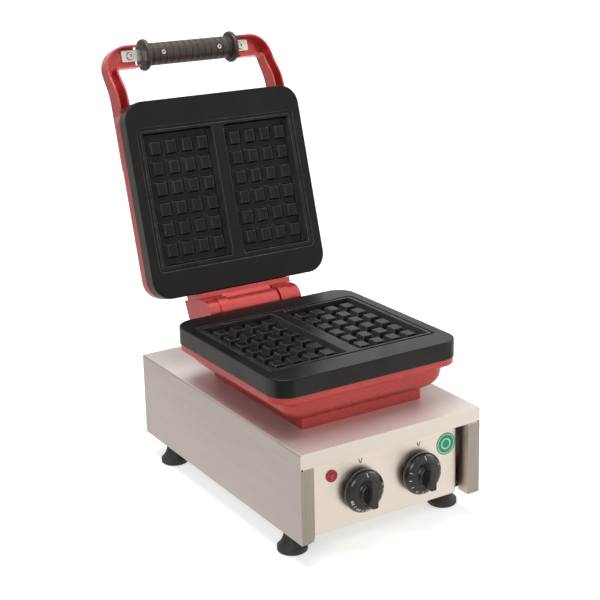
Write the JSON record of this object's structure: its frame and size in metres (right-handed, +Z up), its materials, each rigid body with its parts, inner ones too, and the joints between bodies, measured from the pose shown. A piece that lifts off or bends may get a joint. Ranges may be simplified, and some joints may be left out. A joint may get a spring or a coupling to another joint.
{
  "type": "belgian waffle maker",
  "caption": "Free-standing waffle iron: hinged lid with grip and ribbed handle, deep-pocket mould plates, steel base with thermostat and timer knobs on rubber feet.",
  "frame": {"origin": "middle of the bottom of the whole box, on the plane under the feet", "axes": "+Z up, the controls face -Y, +X to the right as seen from the front, lid open at rest"},
  "size_m": [0.258, 0.5154, 0.5431],
  "materials": {
    "stainless": "brushed stainless sheet",
    "zinc_sheet": "zinc plated sheet",
    "foot_rubber": "black rubber",
    "zinc_fixings": "zinc plated steel",
    "pin_steel": "turned steel",
    "bar_steel": "flat bright steel",
    "red_casting": "metallic red enamel on cast aluminium",
    "black_plate": "black non-stick coated casting",
    "heater_steel": "heater tube steel",
    "mineral_pad": "mineral fibre pad",
    "switch_body": "moulded switch case",
    "knob_black": "satin black phenolic",
    "bakelite": "black phenolic grip",
    "lamp_red": "red lamp lens",
    "lamp_case": "dark red lamp bezel",
    "gland_black": "black nylon",
    "ceramic_white": "white glazed ceramic",
    "label_green": "printed label"
  },
  "bodies": {
    "base": {"cover_shell": "stainless", "control_panel": "stainless", "bottom_plate": "zinc_sheet", "rear_panel": "stainless", "foot_front_left": "foot_rubber", "foot_front_right": "foot_rubber", "foot_back_left": "foot_rubber", "foot_back_right": "foot_rubber", "foot_screws": "zinc_fixings", "foot_nuts": "zinc_fixings", "floor_screws": "zinc_fixings", "thermostat_body": "switch_body", "timer_body": "switch_body", "neck_nuts": "zinc_fixings", "lamp_bezel": "lamp_case", "lamp_lens": "lamp_red", "lamp_nut": "gland_black", "round_label": "label_green", "terminal_block": "ceramic_white", "cable_gland": "gland_black", "gland_nut": "gland_black", "lower_housing": "red_casting", "housing_bolts": "zinc_fixings", "hinge_pin": "pin_steel", "pin_screws": "zinc_fixings", "lower_plate": "black_plate", "lower_heater": "heater_steel", "lower_clamp": "zinc_sheet", "lower_insulation": "mineral_pad", "lower_clamp_bolts": "zinc_fixings"},
    "lid": {"lid_housing": "red_casting", "upper_plate": "black_plate", "upper_heater": "heater_steel", "upper_clamp": "zinc_sheet", "upper_insulation": "mineral_pad", "upper_clamp_bolts": "zinc_fixings", "handle_bar": "bar_steel", "bar_screws": "zinc_fixings", "grip_front": "bakelite", "grip_back": "bakelite", "grip_screws": "zinc_fixings"},
    "thermostat_control": {"thermostat_knob": "knob_black", "thermostat_shaft": "zinc_fixings"},
    "timer_control": {"timer_knob": "knob_black", "timer_shaft": "zinc_fixings"}
  },
  "joints": [
    {"name": "lid_hinge", "type": "hinge", "parent": "base", "child": "lid", "pos_m": [0, 0.07992, 0.204], "axis": [1, 0, 0], "range_deg": [0, 106]},
    {"name": "thermostat_turn", "type": "hinge", "parent": "base", "child": "thermostat_control", "pos_m": [-0.037, -0.22768, 0.0716], "axis": [0, 1, 0], "range_deg": [0, 280]},
    {"name": "timer_turn", "type": "hinge", "parent": "base", "child": "timer_control", "pos_m": [0.045, -0.22768, 0.0716], "axis": [0, 1, 0], "range_deg": [0, 310]}
  ]
}
